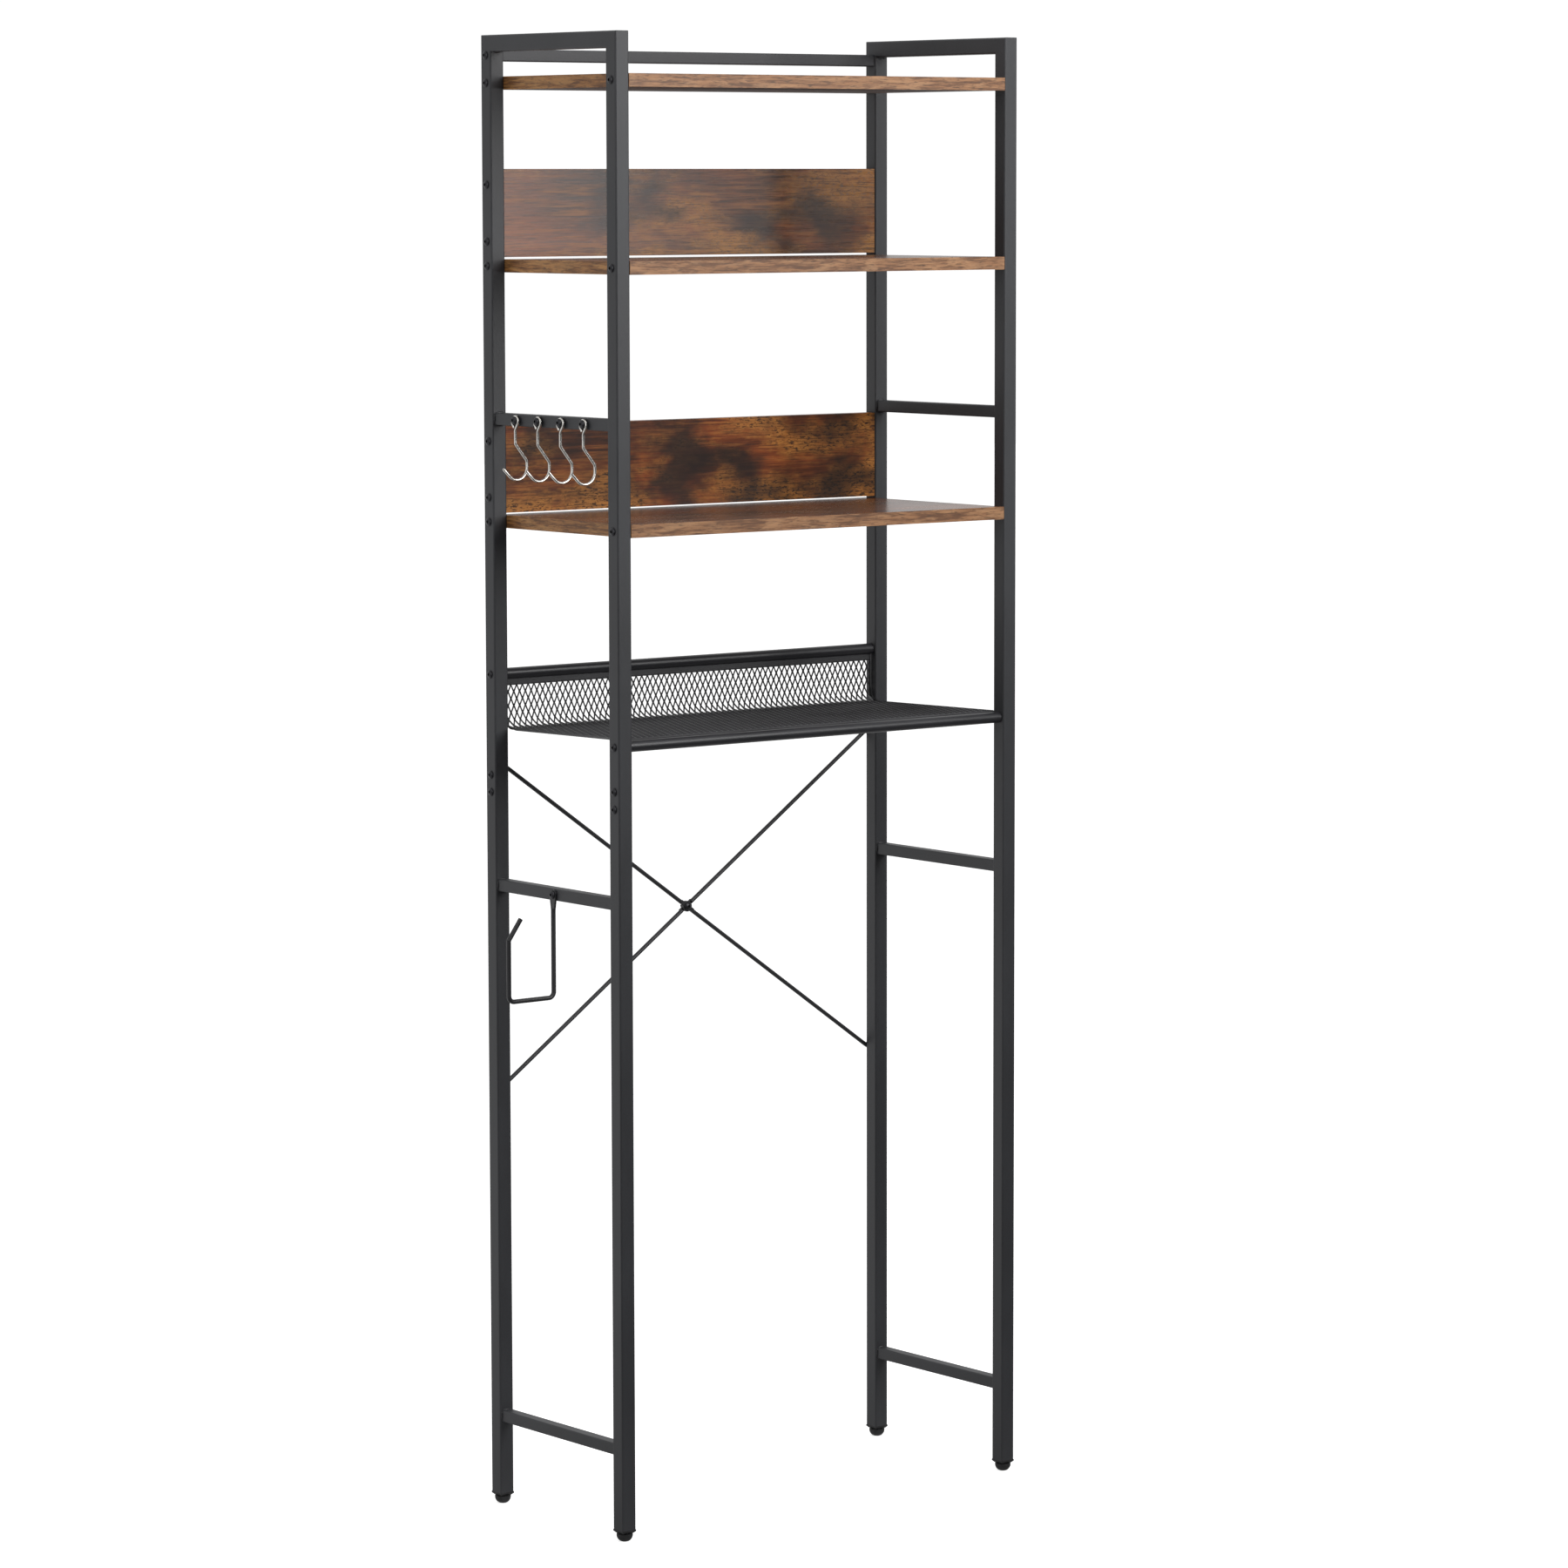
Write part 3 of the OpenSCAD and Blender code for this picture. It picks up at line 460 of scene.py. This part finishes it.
def diamond_lattice():
    """Expanded metal: a grid is poked, its straight edges dissolved and the rest made strands."""
    left, right = SHEET_LEFT + RIM / 2, SHEET_RIGHT - RIM / 2
    bpy.ops.mesh.primitive_grid_add(
        x_subdivisions=DIAMOND_COLUMNS, y_subdivisions=DIAMOND_ROWS, size=1.0)
    lattice = bpy.context.object
    lattice.scale = ((right - left) * MM, SHEET_RUN * MM, 1)
    settle(lattice)
    bpy.ops.object.mode_set(mode="EDIT")
    bpy.ops.mesh.select_all(action="SELECT")
    bpy.ops.mesh.poke()
    bpy.ops.mesh.select_mode(type="EDGE")
    bpy.ops.mesh.select_all(action="DESELECT")
    bpy.ops.object.mode_set(mode="OBJECT")
    mesh = lattice.data
    half_w, half_l = (right - left) * MM / 2 - HAIR, SHEET_RUN * MM / 2 - HAIR
    for edge in mesh.edges:
        a, b = (mesh.vertices[i].co for i in edge.vertices)
        across, down = abs(a.x - b.x), abs(a.y - b.y)
        on_side = abs(a.x) > half_w and abs(b.x) > half_w
        on_end = abs(a.y) > half_l and abs(b.y) > half_l
        edge.select = not on_side and not on_end and (across < HAIR or down < HAIR)
    bpy.ops.object.mode_set(mode="EDIT")
    bpy.ops.mesh.dissolve_edges(use_verts=False)
    bpy.ops.mesh.select_mode(type="VERT")
    # Each row of crossings is carried to its place on the bent sheet.
    middle = place((left + right) / 2, 0, 0).x
    step = SHEET_RUN / (2 * DIAMOND_ROWS)
    for row in range(2 * DIAMOND_ROWS + 1):
        flat_y = (SHEET_RUN / 2 - row * step) * MM
        y, z = along_sheet(row * step)
        target = place(0, y, z)
        pick(lattice, lambda at: abs(at.z) < HAIR / 10 and abs(at.y - flat_y) < HAIR * 10)
        bpy.ops.transform.translate(value=(middle, target.y - flat_y, target.z))
    bpy.ops.object.mode_set(mode="OBJECT")
    apply_modifier(lattice, "WIREFRAME", thickness=STRAND_T * MM, offset=0.0, use_boundary=True,
                   use_even_offset=False, use_replace=True)
    return lattice


def sheet_strip(name, left, right, stations):
    """A plain strip of the sheet, extruded station by station along its bend."""
    bpy.ops.mesh.primitive_grid_add(x_subdivisions=1, y_subdivisions=1, size=1.0)
    strip = bpy.context.object
    strip.name = name
    strip.scale = ((right - left) * MM, MM, 1)
    settle(strip)
    bpy.ops.object.mode_set(mode="EDIT")
    pick(strip, lambda at: at.y < 0)
    bpy.ops.mesh.delete(type="VERT")
    bpy.ops.mesh.select_all(action="SELECT")
    here = place((left + right) / 2, *stations[0])
    bpy.ops.transform.translate(value=here - Vector((0, MM / 2, 0)))
    for y, z in stations[1:]:
        there = place((left + right) / 2, y, z)
        bpy.ops.mesh.extrude_region_move(TRANSFORM_OT_translate={"value": there - here})
        here = there
    bpy.ops.object.mode_set(mode="OBJECT")
    apply_modifier(strip, "SOLIDIFY", thickness=SHEET_T * MM, offset=0.0)
    apply_modifier(strip, "BEVEL", width=SHEET_EDGE * MM, segments=1, limit_method="ANGLE")
    return strip


def basket_sheet():
    """The lattice and its plain strips: at the rear tube, down both sides and over the front."""
    full = [along_sheet(SHEET_RUN * i / RIM_STATIONS) for i in range(RIM_STATIONS + 1)]
    rear = [(BACK_Y, STRIP_TOP), (BACK_Y, STRIP_BOTTOM)]
    lip = [along_sheet(SHEET_RUN - LIP_LAP), LIP_TOP, LIP_END]
    strips = [
        sheet_strip("rear strip", SHEET_LEFT, SHEET_RIGHT, rear),
        sheet_strip("left rim", SHEET_LEFT, SHEET_LEFT + RIM, full),
        sheet_strip("right rim", SHEET_RIGHT - RIM, SHEET_RIGHT, full),
        sheet_strip("front lip", SHEET_LEFT, SHEET_RIGHT, lip),
    ]
    return join([diamond_lattice()] + strips, "basket_diamond_sheet")


finish_piece(basket_sheet(), BASKET_COAT_PAINTED_LIGHTER, "rack", ["basket_mesh_panel"])


# ---------------------------------------------------------------- wire goods


CORNER_STEPS = 6
WIRE_FACETS = 5
SMOOTH_UNDER = math.radians(40)
NOSE = 0.3  # a cut end's rounding, as a share of the wire's diameter
NOSE_SHRINK = 0.62  # and the wire's share of its thickness at the very end


def rounded(points, radius):
    """A bent wire's path: straight runs, with each corner turned on the given radius."""
    path = [Vector(points[0])]
    for before, corner, after in zip(points, points[1:], points[2:]):
        before, corner, after = Vector(before), Vector(corner), Vector(after)
        back, on = (before - corner).normalized(), (after - corner).normalized()
        half = back.angle(on) / 2
        longest = min((before - corner).length, (after - corner).length) * 0.45
        cut = min(radius / math.tan(half), longest)
        start, end = corner + back * cut, corner + on * cut
        for i in range(CORNER_STEPS + 1):
            t = i / CORNER_STEPS
            path.append(start * (1 - t) ** 2 + corner * 2 * t * (1 - t) + end * t ** 2)
    path.append(Vector(points[-1]))
    return path


def wire(name, path, diameter):
    """A round wire on a path, its cut ends slightly rounded."""
    bpy.ops.curve.primitive_nurbs_path_add()
    curve = bpy.context.object
    curve.name = name
    data = curve.data
    data.splines.clear()
    spline = data.splines.new("POLY")
    first, last = path[0], path[-1]
    nose = diameter * NOSE
    path = [first, first + (path[1] - first).normalized() * nose] + path[1:]
    path = path[:-1] + [last + (path[-2] - last).normalized() * nose, last]
    spline.points.add(len(path) - 1)
    for point, at in zip(spline.points, path):
        point.co = (*at, 1)
    spline.points[0].radius = NOSE_SHRINK
    spline.points[len(path) - 1].radius = NOSE_SHRINK
    data.dimensions = "3D"
    data.bevel_depth = diameter / 2
    data.bevel_resolution = WIRE_FACETS
    data.use_fill_caps = True
    alone(curve)
    bpy.ops.object.convert(target="MESH")
    made = bpy.context.object
    settle(made)
    bpy.ops.object.shade_smooth_by_angle(angle=SMOOTH_UNDER)
    return made


HOOK_WIRE = 3.2
HOOK_X = -0.4
HOOK_AXIS_Z = 1276.0
HOOK_YS = (64.0, 108.0, 152.0, 196.0)

# A hook's places are (x, y, z) from its screw's axis.
EYE_R = 5.8
EYE_DROP = 1.6
EYE_ARC = range(-50, 216, 14)  # degrees
EYE_TIP = (0, 1.9, -8.9)
NECK = ((0, -3.4, -6.6), (0, -1.3, -9.4), (0, -0.2, -11.8))
KINK_R = 5
SIDESTEP = 16
SHANK = ((0, 0, -13), (0, 0, -27), (SIDESTEP, 0, -47), (SIDESTEP, 0, -55))
BOWL_R = 14
BOWL_X = SIDESTEP - BOWL_R
BOWL_Z = -54.5
BOWL_ARC = range(0, -136, -9)  # degrees
TIP = (-17.1, 0, -55.2)


def hook_path(y):
    """From the eye's free end, over the screw, down the shank and round the bowl to the tip."""
    def at(x, across, z):
        return place(HOOK_X + x, y + across, HOOK_AXIS_Z + z)

    path = [at(*EYE_TIP)]
    for degrees in EYE_ARC:
        angle = math.radians(degrees)
        path.append(at(0, EYE_R * math.cos(angle), -EYE_DROP + EYE_R * math.sin(angle)))
    path += [at(*turn) for turn in NECK]
    path += rounded([at(*turn) for turn in SHANK], KINK_R * MM)[:-1]
    for degrees in BOWL_ARC:
        angle = math.radians(degrees)
        path.append(at(BOWL_X + BOWL_R * math.cos(angle), 0, BOWL_Z + BOWL_R * math.sin(angle)))
    path.append(at(*TIP))
    return path


for index, y in enumerate(HOOK_YS):
    name = f"hook_{index + 1}"
    hook = wire(f"{name}_wire", hook_path(y), HOOK_WIRE * MM)
    finish_piece(hook, NICKEL, name, [name])


# ---------------------------------------------------------------- weld beads

BEAD_R = 1.5
BEAD_LENGTH = RUNG - 2
CORNER_BEAD_Z = 1696
RIPPLES = (0.82, 1.16, 0.88, 1.2, 0.9)  # each ripple's width, as a share of the bead's
RIPPLE_STEP = 0.17  # and its share of the bead's length
LOWEST_RIPPLE = -0.42
UPRIGHT = (0, 0, 0)
CROSSWISE = (0, math.pi / 2, 0)


def weld_bead(length):
    """A short rippled bead, made once and copied to each of its places."""
    bpy.ops.mesh.primitive_uv_sphere_add(segments=10, ring_count=9, radius=1.0)
    bead = bpy.context.object
    bead.scale = (BEAD_R * MM, BEAD_R * MM, length * MM / 2)
    settle(bead)
    bpy.ops.object.mode_set(mode="EDIT")
    for i, lift in enumerate(RIPPLES):
        low = (LOWEST_RIPPLE + RIPPLE_STEP * i) * length * MM
        pick(bead, lambda at: low <= at.z < low + RIPPLE_STEP * length * MM)
        bpy.ops.transform.resize(value=(lift, lift, 1))
    bpy.ops.object.mode_set(mode="OBJECT")
    bpy.ops.object.shade_smooth()
    return bead


BEAD = weld_bead(BEAD_LENGTH)


def bead_at(at, turn):
    """A copy of the bead, put at its place with its own mesh."""
    alone(BEAD)
    bpy.ops.object.duplicate()
    copy = bpy.context.object
    copy.location = at
    copy.rotation_euler = turn
    settle(copy)
    return copy


def rung_welds(side, level, z_top):
    """Beads down both sides and under and over each end of a rung."""
    x0 = RUNG_IN if side == "left" else FRAME_W - RUNG_IN - RUNG
    beads = []
    for y in (POST, FRAME_D - POST):
        for x in (x0, x0 + RUNG):
            beads.append(bead_at(place(x, y, z_top - RUNG / 2), UPRIGHT))
        for z in (z_top - RUNG, z_top):
            beads.append(bead_at(place(x0 + RUNG / 2, y, z), CROSSWISE))
    finish_piece(join(beads, f"{side}_{level}_rung_welds"), WELD_COAT, "rack")


def corner_welds(side):
    """A bead across the inside of each top corner."""
    x = POST / 2 if side == "left" else FRAME_W - POST / 2
    beads = [bead_at(place(x, y, CORNER_BEAD_Z), CROSSWISE) for y in (POST, FRAME_D - POST)]
    finish_piece(join(beads, f"{side}_top_corner_welds"), WELD_COAT, "rack")


for side in ("left", "right"):
    for level, top in RUNG_TOPS.items():
        rung_welds(side, level, top)
for side in ("left", "right"):
    corner_welds(side)
bpy.data.objects.remove(BEAD)


# ---------------------------------------------------------------- studio


FLOOR_SIZE = 40
FLOOR_SEEN = 0.62  # how brightly the floor glows to the camera
AIR_SEEN = 1.02
# Both are brighter behind the rack for the other rays: from, to, and the strength at each.
FLOOR_LIT = (-0.6, 0.9, 0.10, 0.85)
AIR_LIT = (("Y", (-0.2, 0.6, 0.12, 0.62)), ("Z", (0.0, 1.0, 0.0, 0.40)))
RANGE_SOCKETS = ("From Min", "From Max", "To Min", "To Max")
PANELS = (
    # name, centre, the point it faces, width, height, brightness
    ("right front panel", (1.05, -2.45, 2.25), (0.35, 0, 2.1), 1.55, 1.9, 6.2),
    ("left panel", (-3.0, -1.2, 2.0), (0, 0, 1.2), 1.4, 2.2, 2.0),
    ("top panel", (0.0, -0.9, 3.4), (0, 0, 1.2), 1.6, 1.2, 3.0),
)


def seen_and_lit(tree, seen, lit, surface):
    """The camera sees one shader, and every other ray gets the other."""
    path = tree.nodes.new("ShaderNodeLightPath")
    choose = tree.nodes.new("ShaderNodeMixShader")
    tree.links.new(path.outputs["Is Camera Ray"], choose.inputs[0])
    tree.links.new(lit.outputs[0], choose.inputs[1])
    tree.links.new(seen.outputs[0], choose.inputs[2])
    tree.links.new(choose.outputs[0], surface)


def paper_floor():
    """Pale paper, evenly bright to the camera."""
    bpy.ops.mesh.primitive_plane_add(size=FLOOR_SIZE)
    floor = bpy.context.object
    floor.name = "studio_floor"
    paper = Finish("pale paper floor", Roughness=0.9, Specular_IOR_Level=0.1,
                   Emission_Color=colour(1, 1, 1), Emission_Strength=FLOOR_SEEN)
    mottle = paper.noise((0.8, 0.8, 0.8), detail=2.0)
    paper.feed("Base Color", paper.blend(
        mottle, colour(0.86, 0.86, 0.86), colour(0.88, 0.88, 0.88)))
    back = paper.node("ShaderNodeSeparateXYZ", {}, {"Vector": paper.at}, "Y")
    glow = paper.node(
        "ShaderNodeMapRange", {}, {"Value": back, **dict(zip(RANGE_SOCKETS, FLOOR_LIT))})
    sweep = paper.tree.nodes.new("ShaderNodeEmission")
    paper.tree.links.new(glow.socket, sweep.inputs["Strength"])
    end = next(node for node in paper.tree.nodes if node.type == "OUTPUT_MATERIAL")
    seen_and_lit(paper.tree, paper.shader, sweep, end.inputs["Surface"])
    floor.data.materials.append(paper.material)


def studio_air():
    """A white backdrop to the camera; for other rays it is bright behind and above."""
    world = bpy.data.worlds.new("studio air")
    bpy.context.scene.world = world
    world.use_nodes = True
    tree = world.node_tree
    tree.nodes.clear()
    output = tree.nodes.new("ShaderNodeOutputWorld")
    seen = tree.nodes.new("ShaderNodeBackground")
    seen.inputs["Color"].default_value = colour(1, 1, 1)
    seen.inputs["Strength"].default_value = AIR_SEEN
    lit = tree.nodes.new("ShaderNodeBackground")
    lit.inputs["Color"].default_value = colour(1, 1, 1)
    toward = tree.nodes.new("ShaderNodeTexCoord")
    split = tree.nodes.new("ShaderNodeSeparateXYZ")
    tree.links.new(toward.outputs["Generated"], split.inputs[0])
    total = tree.nodes.new("ShaderNodeMath")
    for index, (axis, ends) in enumerate(AIR_LIT):
        ramp = tree.nodes.new("ShaderNodeMapRange")
        for socket, value in zip(RANGE_SOCKETS, ends):
            ramp.inputs[socket].default_value = value
        tree.links.new(split.outputs[axis], ramp.inputs["Value"])
        tree.links.new(ramp.outputs[0], total.inputs[index])
    tree.links.new(total.outputs[0], lit.inputs["Strength"])
    seen_and_lit(tree, seen, lit, output.inputs["Surface"])


def panel(name, centre, aim, width, height, glow):
    """A rectangular lamp that faces a point."""
    light = bpy.data.lights.new(name, "AREA")
    light.shape = "RECTANGLE"
    light.size, light.size_y = width, height
    light.energy = glow * math.pi * width * height
    lamp = bpy.data.objects.new(name, light)
    bpy.context.scene.collection.objects.link(lamp)
    lamp.location = centre
    lamp.rotation_euler = (Vector(aim) - Vector(centre)).to_track_quat("-Z", "Y").to_euler()


EYE_AT = (-3726.5, -5045.2, 1549.4)
EYE_TURN = 0.6658  # radians to the right of straight back
EYE_DOWN = 0.1075
EYE_ROLL = -0.002
LENS = 128.54
SENSOR = 36.0


def camera():
    """A long lens from the front left, a little above the middle, turned by its three angles."""
    data = bpy.data.cameras.new("camera")
    data.sensor_width = SENSOR
    data.lens = LENS
    data.clip_end = 100
    eye = bpy.data.objects.new("camera", data)
    bpy.context.scene.collection.objects.link(eye)
    ahead = Vector((
        math.sin(EYE_TURN) * math.cos(EYE_DOWN), math.cos(EYE_TURN) * math.cos(EYE_DOWN),
        -math.sin(EYE_DOWN)))
    level = Vector((math.cos(EYE_TURN), -math.sin(EYE_TURN), 0))
    upward = level.cross(ahead)
    right = level * math.cos(EYE_ROLL) + upward * math.sin(EYE_ROLL)
    above = upward * math.cos(EYE_ROLL) - level * math.sin(EYE_ROLL)
    eye.rotation_euler = Matrix((right, above, -ahead)).transposed().to_euler()
    eye.location = place(*EYE_AT)
    bpy.context.scene.camera = eye


paper_floor()
studio_air()
for settings in PANELS:
    panel(*settings)
bpy.context.scene.view_settings.view_transform = "Standard"
camera()
